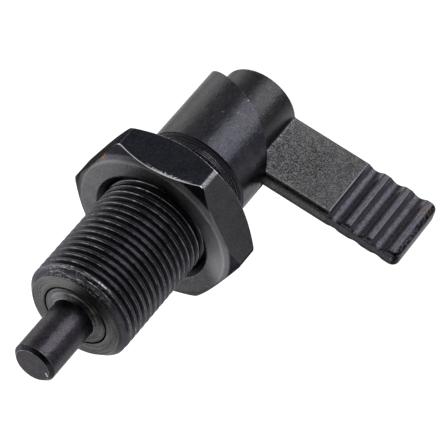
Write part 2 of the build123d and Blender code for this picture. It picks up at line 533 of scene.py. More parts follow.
def body_section(column):
    """Radius, height and wear down one column of the body, from the relief to the front."""
    angle = body_angles[column]
    rim = max(RAMP_ZERO - RISE_PER_DEGREE * degrees(angle), crest)
    foot = RAMP_ZERO - RISE_PER_DEGREE * degrees(first_angle)
    share = max(0.0, (angle - ramp_end) / (body_angles[-1] - ramp_end))
    line = rim + RIM_ROUNDING + (foot - crest) * share
    rim_low = rim + RIM_ROUNDING
    sides = []
    for radius in (sleeve_radius, SLEEVE_BORE):
        start = SLEEVE_BASE - 2 * SLEEVE_EDGE if radius == sleeve_radius else SLEEVE_BASE
        low = [(radius, height, 0.0) for height in np.linspace(start, line, LOWER_ROWS + 1)]
        high = [(radius, height, 0.0) for height in np.linspace(line, rim_low, UPPER_ROWS + 1)]
        sides.append(low + high)
    outside, inside = sides
    ring_heights = np.linspace(RELIEF_FRONT, SLEEVE_BASE + RELIEF_RING, RING_ROWS)
    waves = (1 - np.cos(2 * pi * (ring_heights - SLEEVE_BASE) / RELIEF_RING)) / 2
    ring_radii = RELIEF_RADIUS - RELIEF_RING_DEPTH * waves
    rings = np.stack([ring_radii, ring_heights, np.zeros(RING_ROWS)], axis=-1)
    foot_of_wall = soften([
        (RELIEF_RADIUS, SLEEVE_BASE + RELIEF_RING),
        (RELIEF_RADIUS, SLEEVE_BASE, 0.2, 0),
        (sleeve_radius - SLEEVE_EDGE, SLEEVE_BASE, 0.12, 0.2),
        (sleeve_radius, SLEEVE_BASE - SLEEVE_EDGE, 0.12, 0.2),
        outside[0],
    ])
    rim_arc = soften([
        outside[-1],
        (sleeve_radius, rim, RIM_ROUNDING, 0.6),
        (SLEEVE_BORE, rim, RIM_ROUNDING, 0.6),
        inside[-1],
    ])
    inner = soften([
        inside[0],
        (STEM_HOLE, SLEEVE_BASE),
        (STEM_HOLE, CHAMBER_BACK),
        (CHAMBER_RADIUS, CHAMBER_BACK),
        (CHAMBER_RADIUS, bush_back),
        (BUSH_RADIUS, bush_back),
        (BUSH_RADIUS, 0.0, 0.07, 0),
        (THREAD_RADIUS - FRONT_CHAMFER, 0.0),
    ])
    return np.concatenate([rings, foot_of_wall, outside, rim_arc, inside[::-1], inner])


def body_grid():
    """The sections of the body, with the columns near the stop wall bent into its plane."""
    sections = np.array([body_section(column) for column in range(len(body_angles))])
    columns = np.arange(len(body_angles))
    to_wall = np.minimum(columns, columns[-1] - columns)
    bend = np.clip(1 - to_wall / WALL_SPREAD, 0, 1)
    radius, height, worn = np.moveaxis(sections, -1, 0)
    on_sleeve = (height < SLEEVE_BASE - MERGE) & (radius > SLEEVE_BORE - MERGE)
    plane = np.arcsin(STOP_WALL / np.maximum(radius, SLEEVE_BORE))
    shift = np.where(on_sleeve, -plane - first_angle, 0.0)
    angle = body_angles[:, None] + bend[:, None] * shift
    return np.swapaxes(around_axis(radius, angle, height, worn), 0, 1)


def stop_wall_face(grid):
    """The flat wall at the end of the crest, between the last column and the first."""
    foot = grid[:, 0, 2].min()
    high = grid[grid[:, -1, 2] <= foot + RIM_ROUNDING + MERGE, -1]
    low = grid[grid[:, 0, 2] <= foot + RIM_ROUNDING + MERGE, 0]
    outline = []
    for point in [*high, *low[::-1]]:
        if all(np.linalg.norm(point[:3] - other[:3]) > SAME_POINT for other in outline):
            outline.append(point)
    return outline


# %% [markdown]
# The thread is cut by rows that follow the helix, so its crests stay clean lines at any size.
# Each pitch has a flat crest with soft edges, flanks at 60 degrees and a rounded root. Rows that
# would run past an end are pressed flat against it and merge there, and the chamfer at the
# front and the relief at the back simply limit the radius.

# %% The thread
HALF_CREST = 0.20
FLANK_SLOPE = tan(radians(60))
CREST_EDGE = 0.04
ROOT_START = 0.60
ROOT_CURVE = (0.62, 0.70)
THREAD_START = -0.89


def thread_profile():
    """Distance from the crest's middle, depth below the crest and wear, over one pitch."""
    flank_end = HALF_CREST + ROOT_START / FLANK_SLOPE
    half = [
        (0.0, 0.0, 0.0),
        (HALF_CREST - CREST_EDGE, 0.008, 0.0),
        (HALF_CREST, 0.03, 1.0),
        (HALF_CREST + CREST_EDGE, 0.085, 1.0),
        (HALF_CREST + 2.5 * CREST_EDGE, 0.18, 0.0),
        ((HALF_CREST + flank_end) / 2, ROOT_START / 2, 0.0),
        (flank_end, ROOT_START, 0.0),
        (*ROOT_CURVE, 0.0),
        (THREAD_PITCH / 2, THREAD_DEPTH, 0.0),
    ]
    back = [(THREAD_PITCH - at, depth, wear) for at, depth, wear in half[-2:0:-1]]
    return half + back


def thread_grid():
    """The barrel from its front face to the relief, with one row for each point of each turn."""
    turns = int(-RELIEF_FRONT / THREAD_PITCH) + 3
    rows = [
        (turn * THREAD_PITCH + at, depth, wear)
        for turn in range(-1, turns)
        for at, depth, wear in thread_profile()
    ]
    at, depth, wear = np.array(rows).T
    climb = THREAD_PITCH * (body_angles - body_angles[0]) / (2 * pi)
    height = np.clip(climb[None, :] - at[:, None] + THREAD_START, RELIEF_FRONT, 0.0)
    chamfer = THREAD_RADIUS - FRONT_CHAMFER - height
    relief = RELIEF_RADIUS + height - RELIEF_FRONT
    limit = np.minimum(chamfer, relief)
    radius = np.minimum(THREAD_RADIUS - depth[:, None], limit)
    worn = np.where(limit < THREAD_RADIUS - depth[:, None], 0.2, wear[:, None])
    return around_axis(radius, body_angles, height, worn)


section_grid = body_grid()
guide_mesh = make_mesh(
    "guide_body_turned",
    [(section_grid, False), (thread_grid(), False)],
    [stop_wall_face(section_grid)],
)

# %% [markdown]
# ## The guide bush and the pin
# The bush is pressed into the body's face, and the chamfer of its rim leaves the dark seam
# between them. Its mouth was turned to a low cone, so that it wipes the pin clean with a thin
# lip. The pin, its collar and its stem are one turned piece.

# %% Bush and pin
ROUND_COLUMNS = 128
ROUND = np.linspace(0, 2 * pi, ROUND_COLUMNS, endpoint=False)
PIN_RADIUS = 4.0
PIN_TIP_CHAMFER = 0.7
PIN_FIT = 0.03
LIP_HEIGHT = 0.6
LIP_TOP = 0.14
LIP_FOOT = 5.2
BUSH_SEAM = 0.3
COLLAR_RADIUS = 5.5
COLLAR_BACK = -11.0
STEM_RADIUS = 3.0
STEM_END_CHAMFER = 0.5
END_CAP = 0.5
NECK_RADIUS = 1.9
NECK_LEVEL = -40.5
NECK_HALF_WIDTH = 1.1

bush_bore = PIN_RADIUS + PIN_FIT
bush_profile = soften([
    (bush_bore, bush_back),
    (bush_bore, LIP_HEIGHT, 0.05, 0.3),
    (bush_bore + LIP_TOP, LIP_HEIGHT, 0.05, 1.0),
    (LIP_FOOT, 0.0, 0.3, 0),
    (BUSH_RADIUS - BUSH_SEAM, 0.0, 0.08, 0),
    (BUSH_RADIUS, -2 * BUSH_SEAM, 0.1, 0),
    (BUSH_RADIUS, bush_back),
    (bush_bore, bush_back),
])
bush_mesh = make_mesh("guide_bush_turned", [(turned(bush_profile, ROUND), True)])

pin_profile = soften([
    (END_CAP, pin_high.z),
    (PIN_RADIUS - PIN_TIP_CHAMFER, pin_high.z, 0.1, 1),
    (PIN_RADIUS, pin_high.z - PIN_TIP_CHAMFER, 0.1, 1),
    (PIN_RADIUS, bush_back),
    (COLLAR_RADIUS, bush_back),
    (COLLAR_RADIUS, COLLAR_BACK),
    (STEM_RADIUS, COLLAR_BACK),
    (STEM_RADIUS, NECK_LEVEL + NECK_HALF_WIDTH),
    (NECK_RADIUS, NECK_LEVEL + NECK_HALF_WIDTH),
    (NECK_RADIUS, NECK_LEVEL - NECK_HALF_WIDTH),
    (STEM_RADIUS, NECK_LEVEL - NECK_HALF_WIDTH),
    (STEM_RADIUS, pin_low.z + STEM_END_CHAMFER),
    (STEM_RADIUS - STEM_END_CHAMFER, pin_low.z),
    (END_CAP, pin_low.z),
])
pin_grid = turned(pin_profile, ROUND)
pin_mesh = make_mesh("plunger_pin_turned", [(pin_grid, True)], [pin_grid[0], pin_grid[-1]])

# %% [markdown]
# ## The lock nut
# A hexagon is a circle whose radius changes with the angle. The nut's corners were turned back
# by a cone, which leaves the curved edge that every real nut has, and no shape of its own is
# needed for it: the cone's height at the hexagon's edge gives the curve.

# %% Lock nut
NUT_FLATS = 30.0
NUT_CORNERS = 34.1
NUT_FACE = 29.4
NUT_CORNER_DROP = 1.8
NUT_CORNER_SLOPE = 2 * NUT_CORNER_DROP / (NUT_CORNERS - NUT_FACE)
NUT_BORE = 10.0
NUT_COUNTERSINK = 1.4
NUT_TURN = 7.8
NUT_ROUNDING = 0.14
NUT_FACE_ROUNDING = 1.1
FRONT_WEAR = (0.15, 1.0, 0.7, 0.5, 0.4, 0.5)
REAR_WEAR = (0.8, 0.8, 0.6, 0.5, 0.5, 0.5)
CORNER_BLEND = 0.05
SIDE_STEPS = (-29.8, -29.0, -28.5, -28.1, -27.4, -26, -23, -19, -14, -9, -4.5, 0)

nut_steps = [*SIDE_STEPS, *[-step for step in SIDE_STEPS[-2::-1]]]
nut_middle = (nut_low.z + nut_high.z) / 2
nut_half = (nut_high.z - nut_low.z) / 2


def hexagon_radius(step):
    """The nut's radius at an angle from the middle of a flat, with the corner turned round."""
    flat, corner = NUT_FLATS / 2 / cos(radians(step)), NUT_CORNERS / 2
    gap = (flat - corner) / CORNER_BLEND
    return min(flat, corner) - CORNER_BLEND * np.log1p(np.exp(-abs(gap)))


def half_column(step, wear):
    """Half the nut's section at that angle, from its bore's middle to its facet's middle."""
    edge = hexagon_radius(step)
    drop = (edge - NUT_FACE / 2) * NUT_CORNER_SLOPE
    return soften([
        (NUT_BORE, 0.0),
        (NUT_BORE, nut_half - NUT_COUNTERSINK, 0.1, 0),
        (NUT_BORE + NUT_COUNTERSINK, nut_half, NUT_ROUNDING, 0.2),
        (NUT_FACE / 2, nut_half, NUT_FACE_ROUNDING, 0),
        (edge, nut_half - drop, NUT_ROUNDING, wear),
        (edge, 0.0),
    ])


def nut_column(side, step):
    """The nut's whole section at that angle: a front half and a mirrored back half."""
    front = half_column(step, FRONT_WEAR[side])
    back = half_column(step, REAR_WEAR[side])[::-1] * (1, -1, 1)
    return np.concatenate([front, back[1:]])


nut_places = [(side, step) for side in range(6) for step in nut_steps]
nut_columns = np.array([nut_column(side, step) for side, step in nut_places])
nut_angles = np.array([radians(NUT_TURN + 60 * side + 30 + step) for side, step in nut_places])
nut_radius, nut_height, nut_worn = np.moveaxis(nut_columns, -1, 0)
nut_grid = around_axis(nut_radius, nut_angles[:, None], nut_middle + nut_height, nut_worn)
nut_mesh = make_mesh("lock_nut_faced", [(np.swapaxes(nut_grid, 0, 1), True)])

# %% [markdown]
# ## The lever
# Hub and arm are one casting. The arm is two height fields, front and back, over the same grid
# of the arm's outline: each is the lower of a rounded blank and the wave of the grip. Where the
# outline turns its rounded corner, the square grid is bent into quarter circles, so that the
# rows near the edge follow it. At the root, the first columns trace the fillet between arm and
# hub, and the hub's own grid starts where the fillet meets it.

# %% Lever sizes
ARM_FRONT = -44.55
ARM_HALF = 1.8
ARM_EDGE = 0.75
ARM_CORNER = 1.5
ROOT_FILLET = 0.5
HUB_EDGE = 0.4
HUB_BORE = 3.04
HUB_BORE_END = -55.9
GRIP_PITCH = 4.5
GRIP_VALLEY_RADIUS = 1.8
GRIP_END = 1.7
GRIP_DEPTHS = {1: 1.15, -1: 0.8}
CAST_BUMP_DEPTH = 0.1
SOFT_BLEND = 0.08
FAR_APART = 50

hub_radius = -lever_low.x
arm_end = lever_high.x
lever_end = lever_low.z
arm_height = ARM_FRONT - lever_end
valleys = [arm_end - GRIP_END - GRIP_PITCH * (index - 0.5) for index in (3, 2, 1)]
grip_start = valleys[0] - GRIP_VALLEY_RADIUS
print("grip valleys at", [round(valley, 2) for valley in valleys])


def rounded_edge(distance, rounding, full):
    """A surface's level at a distance from its edge: full, but for the edge's rounding."""
    inward = np.clip(rounding - distance, 0, rounding)
    return full - rounding + np.sqrt(rounding**2 - inward**2)


def wave(x, depth):
    """The grip's surface along the arm: round valleys joined by round crests."""
    slope = 2 * atan(2 * depth / GRIP_PITCH)
    reach = GRIP_VALLEY_RADIUS * sin(slope)
    crest_radius = GRIP_PITCH / 2 / sin(slope) - GRIP_VALLEY_RADIUS
    surface = np.full_like(x, np.inf)
    for valley in valleys:
        off = np.clip(np.abs(x - valley), 0, GRIP_VALLEY_RADIUS)
        bowl = ARM_HALF - depth + GRIP_VALLEY_RADIUS - np.sqrt(GRIP_VALLEY_RADIUS**2 - off**2)
        to_crest = np.clip(GRIP_PITCH / 2 - off, 0, crest_radius)
        dome = ARM_HALF - crest_radius + np.sqrt(crest_radius**2 - to_crest**2)
        open_start = (valley == valleys[0]) & (x < valley)
        shape = np.where((off <= reach) | open_start, bowl, dome)
        inside = np.abs(x - valley) <= np.where(open_start, GRIP_VALLEY_RADIUS, GRIP_PITCH / 2)
        surface = np.where(inside, np.minimum(surface, shape), surface)
    return surface


def lower_of(first, second):
    """The smaller of two surfaces, with the crease between them softened."""
    gap = np.minimum(np.abs(first - second) / SOFT_BLEND, FAR_APART)
    return np.minimum(first, second) - SOFT_BLEND * np.log1p(np.exp(-gap)) * np.exp(-gap)


# %% The arm's two faces
EDGE_STEPS = np.array([0, 0.03, 0.08, 0.15, 0.24, 0.36, 0.52, 0.75])
FILLET_POINTS = 6
ARM_ROWS = 34
PLAIN_COLUMNS = 26
GRIP_STEP = 0.11
GRIP_MARGIN = 0.3
CORNER_COLUMNS = 8
WORN_BAND = (0.2, 0.3)

arm_rows = np.concatenate([
    EDGE_STEPS,
    np.linspace(ARM_EDGE, arm_height - ARM_EDGE, ARM_ROWS)[1:-1],
    arm_height - EDGE_STEPS[::-1],
])
fine_start = grip_start - GRIP_MARGIN


def arm_columns(root):
    """Places along the arm: coarse along its plain part, fine over the grip and at its end."""
    return np.concatenate([
        np.linspace(root, fine_start, PLAIN_COLUMNS)[1:-1],
        np.arange(fine_start, arm_end - ARM_CORNER, GRIP_STEP),
        arm_end - np.linspace(ARM_CORNER, ARM_EDGE, CORNER_COLUMNS)[:-1],
        arm_end - EDGE_STEPS[::-1],
    ])


def bend_corner(x, z):
    """Moves the points of a square corner onto quarter circles of the arm's corner radius."""
    to_end = arm_end - x
    to_edge = np.minimum(ARM_FRONT - z, z - lever_end)
    across, along = ARM_CORNER - to_end, ARM_CORNER - to_edge
    larger = np.maximum(across, along)
    smaller = np.minimum(across, along)
    turn = pi / 4 * smaller / np.maximum(larger, TINY)
    big, small = larger * np.cos(turn), larger * np.sin(turn)
    new_across = np.where(across >= along, big, small)
    new_along = np.where(across >= along, small, big)
    corner = (across > 0) & (along > 0)
    nearer_front = ARM_FRONT - z <= z - lever_end
    from_front = ARM_FRONT - ARM_CORNER + new_along
    from_back = lever_end + ARM_CORNER - new_along
    new_z = np.where(nearer_front, from_front, from_back)
    new_x = arm_end - ARM_CORNER + new_across
    return np.where(corner, new_x, x), np.where(corner, new_z, z)


def arm_face(side):
    """One broad face of the arm, from the hub's surface to the end, row by row."""
    rows = []
    for depth in arm_rows:
        level = ARM_FRONT - depth
        half = rounded_edge(min(depth, arm_height - depth), ARM_EDGE, ARM_HALF)
        out = rounded_edge(level - lever_end, HUB_EDGE, hub_radius) + ROOT_FILLET
        centre = np.array([sqrt(out**2 - (half + ROOT_FILLET) ** 2), half + ROOT_FILLET])
        fillet = arc(centre, ROOT_FILLET, -unit(centre), np.array([0.0, -1.0]), FILLET_POINTS)
        x = arm_columns(centre[0])
        z = np.full_like(x, level)
        edge_distance = np.minimum(np.minimum(arm_end - x, depth), arm_height - depth)
        bent_x, bent_z = bend_corner(x, z)
        blank = rounded_edge(edge_distance, ARM_EDGE, ARM_HALF)
        y = lower_of(blank, wave(bent_x, GRIP_DEPTHS[side]))
        middle, reach = WORN_BAND
        edge_wear = np.clip(1 - np.abs(edge_distance - middle) / reach, 0, 1)
        root_points = [(px, side * py, level, 0.0) for px, py in fillet]
        face_points = np.stack([bent_x, side * y, bent_z, edge_wear], axis=-1)
        rows.append(np.concatenate([root_points, face_points]))
    return np.array(rows)


front_face, back_face = arm_face(1), arm_face(-1)
print("arm grid:", front_face.shape[:2])

# %% [markdown]
# Strips close the arm along its upper edge, its end and its lower edge. The hub's columns start
# at the two fillets, and above the arm they go all the way round. The hub's bore holds the pin's
# stem, and a drilled hole takes the dowel.

# %% The hub and the whole lever
HUB_COLUMNS = 110
SECTOR_COLUMNS = 8
DOWEL_RADIUS = 1.0
DOWEL_OFFSET = -3.0
DRILL_SIDES = 48

root_front = np.arctan2(front_face[:, 0, 1], front_face[:, 0, 0])
hub_share = np.linspace(0, 1, HUB_COLUMNS + 1)
hub_angles = root_front[:, None] + (2 * pi - 2 * root_front[:, None]) * hub_share
hub_levels = ARM_FRONT - arm_rows
hub_radii = np.hypot(front_face[:, 0, 0], front_face[:, 0, 1])[:, None]
beside_arm = around_axis(hub_radii, hub_angles, hub_levels[:, None], 0.0)

sector = np.linspace(-root_front[0], root_front[0], SECTOR_COLUMNS + 1)
whole_turn = np.concatenate([hub_angles[0], sector[1:-1] + 2 * pi])
above_profile = soften([
    (hub_radius, ARM_FRONT),
    (hub_radius, lever_high.z - HUB_EDGE, 0.1, 0),
    (hub_radius - HUB_EDGE, lever_high.z, 0.1, 0),
    (HUB_BORE, lever_high.z),
    (HUB_BORE, HUB_BORE_END),
])
above_arm = turned(above_profile, whole_turn)

sector_arc = turned([(hub_radius, ARM_FRONT, 0.0)], sector)[0]
lever_grids = [
    (front_face, False),
    (back_face, False),
    (beside_arm, False),
    (above_arm, True),
    (np.stack([front_face[0, 1:], back_face[0, 1:]]), False),
    (np.stack([front_face[-1], back_face[-1]]), False),
    (np.stack([front_face[:, -1], back_face[:, -1]]), False),
]
lever_caps = [
    [back_face[0, 1], *sector_arc, front_face[0, 1]],
    beside_arm[-1],
    above_arm[-1],
]
lever_blank = make_mesh("lever_blank", lever_grids, lever_caps)


def drilled(mesh, radius, length, place):
    """The mesh with a hole drilled through it along Y."""
    bpy.ops.mesh.primitive_cylinder_add(
        vertices=DRILL_SIDES, radius=radius * MM, depth=length * MM,
        location=Vector(place) * MM, rotation=(pi / 2, 0, 0),
    )
    drill = bpy.context.active_object
    work = bpy.data.objects.new("work", mesh)
    bpy.context.scene.collection.objects.link(work)
    cut = work.modifiers.new("hole", "BOOLEAN")
    cut.operation, cut.solver, cut.object = "DIFFERENCE", "EXACT", drill
    evaluated = work.evaluated_get(bpy.context.evaluated_depsgraph_get())
    result = bpy.data.meshes.new_from_object(evaluated)
    bpy.data.objects.remove(work)
    bpy.data.objects.remove(drill)
    result.set_sharp_from_angle(angle=SHARP)
    return result


lever_mesh = drilled(lever_blank, DOWEL_RADIUS, 4 * hub_radius, (DOWEL_OFFSET, 0, NECK_LEVEL))
lever_mesh.materials.clear()
print("lever:", len(lever_mesh.polygons), "faces")

# %% [markdown]
# ## The spring
# The spring is wire wound into a helix and ground flat at both ends. Its section is a circle of
# points, and where the grinding plane cuts the wire, the same points spread over the arc that is
# left. A screw modifier could wind the wire, but its ends would still have to be ground. The
# spring is drawn anew, at its packed size, because it has to shorten when the pin goes in.

# %% Spring
WIRE_RADIUS = 0.5
SPRING_RADIUS = 4.9
SPRING_GAPS = 7
SECTION_POINTS = 12
SECTIONS_PER_TURN = 36
FEATHER_EDGE = 0.05

spring_length = COLLAR_BACK - CHAMBER_BACK
spring_pitch = spring_length / SPRING_GAPS
wound = spring_length + 2 * (WIRE_RADIUS - FEATHER_EDGE)
lean = atan(spring_pitch / (2 * pi * SPRING_RADIUS))


def wire_section(height):
    """Angles round the wire, where its middle is at a height, that the grinding has left."""
    below, over = CHAMBER_BACK - height, height - COLLAR_BACK
    cut = max(below, over) / (WIRE_RADIUS * cos(lean))
    widest = pi * (1 - 1 / SECTION_POINTS)
    reach = min(widest, acos(np.clip(cut, -1.0, 1.0)))
    spread = np.linspace(-reach, reach, SECTION_POINTS)
    if below > over:
        return pi / 2 + spread
    return np.roll(spread - pi / 2, -SECTION_POINTS // 2)


spring_sections = []
for share in np.linspace(0, 1, round(wound / spring_pitch * SECTIONS_PER_TURN)):
    height = CHAMBER_BACK - WIRE_RADIUS + FEATHER_EDGE + wound * share
    around = 2 * pi * wound * share / spring_pitch
    out = np.array([cos(around), sin(around), 0.0])
    upward = np.array([sin(around) * sin(lean), -cos(around) * sin(lean), cos(lean)])
    middle = SPRING_RADIUS * out + np.array([0.0, 0.0, height])
    turn = wire_section(height)[:, None]
    section = middle + WIRE_RADIUS * (np.cos(turn) * out + np.sin(turn) * upward)
    spring_sections.append(np.hstack([section, np.zeros((SECTION_POINTS, 1))]))
spring_grid = np.array(spring_sections)
spring_mesh = make_mesh("spring_wound", [(spring_grid, True)], [spring_grid[0], spring_grid[-1]])

# %% [markdown]
# ## Finishes
# Chemically blackened steel is a thin oxide over bare metal, sealed with oil. It mirrors a
# little, evenly dark with a blue or brown cast, and the oil makes it semi-gloss. So the
# Principled shader is metallic with a very dark colour: that colour is how much it mirrors
# straight on, and its edges still turn bright, as they do on the real thing. Where an edge is
# rubbed, the oxide is gone and bright steel shows.

# %% Colours of the steel
OXIDE = (0.0225, 0.0225, 0.0275)
OXIDE_BLUE = (0.0200, 0.0210, 0.0270)
OXIDE_BROWN = (0.0275, 0.024, 0.026)
FACED_OXIDE = (0.049, 0.048, 0.048)
RELIEF_OXIDE = (0.045, 0.043, 0.050)
BUSH_OXIDE = (0.048, 0.047, 0.047)
PIN_OXIDE = (0.0265, 0.0232, 0.0275)
NUT_FACE_OXIDE = (0.054, 0.054, 0.057)
DULL_OXIDE = (0.050, 0.050, 0.054)
TOP_FACET_PAINTED_SHADE = (0.0190, 0.0212, 0.0275)
CAST_OXIDE = (0.0450, 0.0440, 0.0460)
GRIP_OXIDE = (0.0375, 0.0355, 0.0435)
HUB_OXIDE = (0.0225, 0.0225, 0.0245)
ROOT_SHEEN = (0.062, 0.057, 0.078)
BARE_STEEL = (0.50, 0.50, 0.51)
WORN_CREST = (0.30, 0.30, 0.32)
PAINTED_CREST_GLINT = (0.75, 0.76, 0.80)
RUST = (0.22, 0.09, 0.035)
GOLDEN_STAIN = (0.30, 0.24, 0.12)
BLUE_STAIN = (0.04, 0.07, 0.12)
WARM_OIL = (0.075, 0.056, 0.040)
COOL_OIL = (0.030, 0.045, 0.070)

# %% What every blackened piece shares
EDGE_GLOSS = 0.75
OILED_EDGE_GLOSS = 0.4


def blackened(name, edge_gloss=EDGE_GLOSS):
    """A finish ready for black oxide: its far edges mirror less than clean metal would."""
    tint = (edge_gloss, edge_gloss, edge_gloss, 1.0)
    return Finish(name, {"Metallic": 1.0, "Specular Tint": tint})


def oxide_colour(steel, seed):
    """Dark oxide that drifts between blue and brown over a few millimetres."""
    blue = steel.cloud(5.0, 3.0, 0.6, (seed, 0.0, 0.0)).rises(0.45, 0.65)
    brown = steel.cloud(2.4, 3.0, 0.6, (0.0, seed, 0.0)).rises(0.52, 0.72)
    return steel.mix(brown, steel.mix(blue, OXIDE, OXIDE_BLUE), OXIDE_BROWN)


def rubbed_edges(steel, threshold, seed):
    """1 where an edge is rubbed to bare steel: near the edge, and only in places."""
    patchy = steel.cloud(1.1, 4.0, 0.7, (0.0, 0.0, seed))
    return (steel.worn() * (0.4 + patchy)).rises(threshold, threshold + 0.18)


def specks(steel, size, seed):
    """Tiny bright points of dust and bare metal."""
    return steel.cloud(size, 1.0, 0.5, (seed, seed, 0.0)).rises(0.73, 0.80)


def bared(steel, oxide, amount):
    """The oxide's colour, with bare steel where the amount is 1 or more."""
    return steel.mix(amount.at_most(1.0), oxide, BARE_STEEL)


# %% [markdown]
# The body shows three textures. The sleeve was left as the tool left it and then handled: its
# gloss is mottled, with short scratches. The thread's crests are burnished by the nut, and its
# first turns are dented from use; where the crests face the light, painted glints brighten them.
# The front face has the rings of a facing cut. A material for each would split the mesh along its
# borders, so one material finds its surfaces by their height and radius, and masks blend softly
# from one to the next. Painted light and shade also tone parts of these surfaces, and a painted
# reflection lies on the sleeve.

# %% Where each surface of the body lies
body = blackened("blackened_body")
on_sleeve = body.z.falls(SLEEVE_BASE - 0.1, SLEEVE_BASE + 0.1)
on_thread = body.radius.rises(9.0, 9.3) * (1 - on_sleeve)
in_root = on_thread * body.radius.falls(9.35, 9.8)
in_relief = (1 - on_sleeve) * body.z.falls(RELIEF_FRONT - 0.1, RELIEF_FRONT + 0.1)
on_front = body.z.rises(-0.05, -0.02)
on_start = body.z.rises(-2.6, -1.6) * body.radius.rises(8.6, 8.8)
ring_share = ((body.z - SLEEVE_BASE) / RELIEF_RING).fraction()
# Painted shade darkens the relief's ring grooves.
painted_groove_shade = ring_share.close_to(0.5, 0.12, 0.3) * in_relief
shadowed = in_relief * body.z.rises(RELIEF_FRONT - 1.2, RELIEF_FRONT - 0.8)
# The sleeve's shoulder is painted lighter: painted light where its gloss mirrors only the dark
# relief.
shoulder = body.z.rises(SLEEVE_BASE - 0.1, SLEEVE_BASE - 0.02)
shoulder = shoulder * body.z.falls(SLEEVE_BASE + 0.1, SLEEVE_BASE + 0.2)
shoulder = shoulder * body.radius.rises(RELIEF_RADIUS + 0.02, RELIEF_RADIUS + 0.07)
seam = body.radius.close_to(BUSH_RADIUS + 0.02, 0.02, 0.12) * body.z.rises(-1.0, -0.5)

# %% How dark the body's oxide is, with painted light and shade
grain = body.cloud(0.3, 2.0, 0.6)
rings = body.turning(0.16, 6.0)
mottle = body.cloud(1.5, 4.0, 0.7, (2.0, 0.0, 0.0), (1.0, 1.0, 1.5))
gain = 1 + grain.swing(2.4 - on_sleeve * 1.2) + rings.swing(0.3 + on_front * 3.0)
gain = gain + in_root * 0.3 + mottle.swing(on_sleeve) * 1.2
# Painted light and shade: each row lightens or darkens one side of a surface for the way light
# falls on it, and the sleeve's row is a painted reflection.
painted_light_sides = (
    # painted light and shade on one side of a surface: surface, azimuth of the side, distance
    # where it begins and where it is full, and strength, which darkens when it is below 0
    (on_front, 45, 4.5, 7.5, -0.35),
    (on_front, 135, 4.5, 7.5, 0.4),
    (on_thread, 150, 7.0, 9.9, -0.38),
    (on_thread * (1 - in_root), 80, 8.6, 9.8, -0.25),
    (on_sleeve * body.z.rises(-44.5, -42.0), 25, 8.6, 9.6, 0.6),
)
for surface, azimuth, begins, full, strength in painted_light_sides:
    gain = gain + surface * body.toward(azimuth).rises(begins, full) * strength
# A painted reflection: a faint light streak up the sleeve.
painted_reflection_streak = body.near(1.1, (7.9, 6.1, -45.2), (8.1, 5.8, -43.5), (8.3, 5.6, -41.9))
gain = gain + on_start * 0.4 - painted_groove_shade * 0.75 + shoulder * 4.0 - shadowed * 0.75 + painted_reflection_streak * 0.5
oxide = body.mix(on_front, oxide_colour(body, 0.0), FACED_OXIDE)
oxide = body.tone(body.mix(in_relief, oxide, RELIEF_OXIDE), gain)

# %% Wear of the body, with painted glints on the thread's crests
# Crest wear is real all round. It is stronger on the sides that face the light, where it is partly
# a painted glint, and towards 85 degrees the crests turn to a bright painted glint.
wear_and_lit_sides = 0.25 + body.toward(95).rises(6.0, 9.5) * 0.75
wear_and_lit_sides = wear_and_lit_sides.at_least(body.toward(30).rises(7.5, 9.5) * 0.6)
patchy = body.cloud(1.6, 4.0, 0.7, (5.0, 0.0, 0.0)).rises(0.25, 0.75)
burnish_and_glint = body.worn() * on_thread * patchy * wear_and_lit_sides
painted_crest_glint = body.toward(85).rises(7.0, 9.6) * body.cloud(0.6, 2.0, 0.6).rises(0.35, 0.65)
crest_wear_and_glint = body.mix(painted_crest_glint, WORN_CREST, PAINTED_CREST_GLINT)
oxide = body.mix(burnish_and_glint.at_most(1.0), oxide, crest_wear_and_glint)
dents = on_start * body.near(9.0, (-1.5, 10.2, -0.8))
dents = dents * body.turning(0.13, 2.2, 3.0).rises(0.50, 0.62)
dents = dents * body.cloud(0.5, 2.0, 0.6, (0.0, 8.0, 0.0)).rises(0.38, 0.58)
scratches = body.cloud(0.5, 2.0, 0.5, (4.0, 0.0, 0.0), (0.16, 0.16, 3.0), (0.0, 18.0, 0.0))
scratches = scratches.rises(0.64, 0.76) * on_sleeve
nicks = body.near(0.16, (-1.3, 9.9, -45.1), (-0.7, 10.0, -51.0), (0.9, 10.0, -50.1))
bare = rubbed_edges(body, 0.5, 1.0) * on_sleeve * 0.25 + dents + scratches * 0.16
bare = bare + nicks * 0.3 + specks(body, 0.3, 2.0) * (0.15 - on_sleeve * 0.11)
oxide = bared(body, oxide, bare)
oxide = body.mix(body.near(0.3, (-2.1, 9.8, -43.2)) * 0.25, oxide, RUST)
rough = 0.29 + on_thread * 0.03 + in_root * 0.1 + on_front * 0.13 + shoulder * 0.3
rough = rough + mottle.swing(0.34) * on_sleeve + grain.swing(0.16)
height = rings * (0.35 + on_start * 0.8) + grain * 0.8 + mottle * 3.2 * on_sleeve
body.surface(body.tone(oxide, 1 - seam * 0.9), rough, height)
print("body finish:", len(body.tree.nodes), "nodes")

# %% [markdown]
# The bush keeps the rings of its facing cut, and its thin lip is rubbed by whatever the pin
# brings in. A ring of bare steel shows at the lip's foot. The pin was ground before it was
# blackened, and its gloss is blotched where the oil lies uneven.

# %% Bush and pin finishes
bush = blackened("blackened_bush")
mouth = (bush.worn() * (0.5 + bush.cloud(1.2, 3.0, 0.7))).rises(0.35, 0.8)
rings = bush.turning(0.34, 4.0, 3.0)
grain = bush.cloud(0.3, 2.0, 0.6)
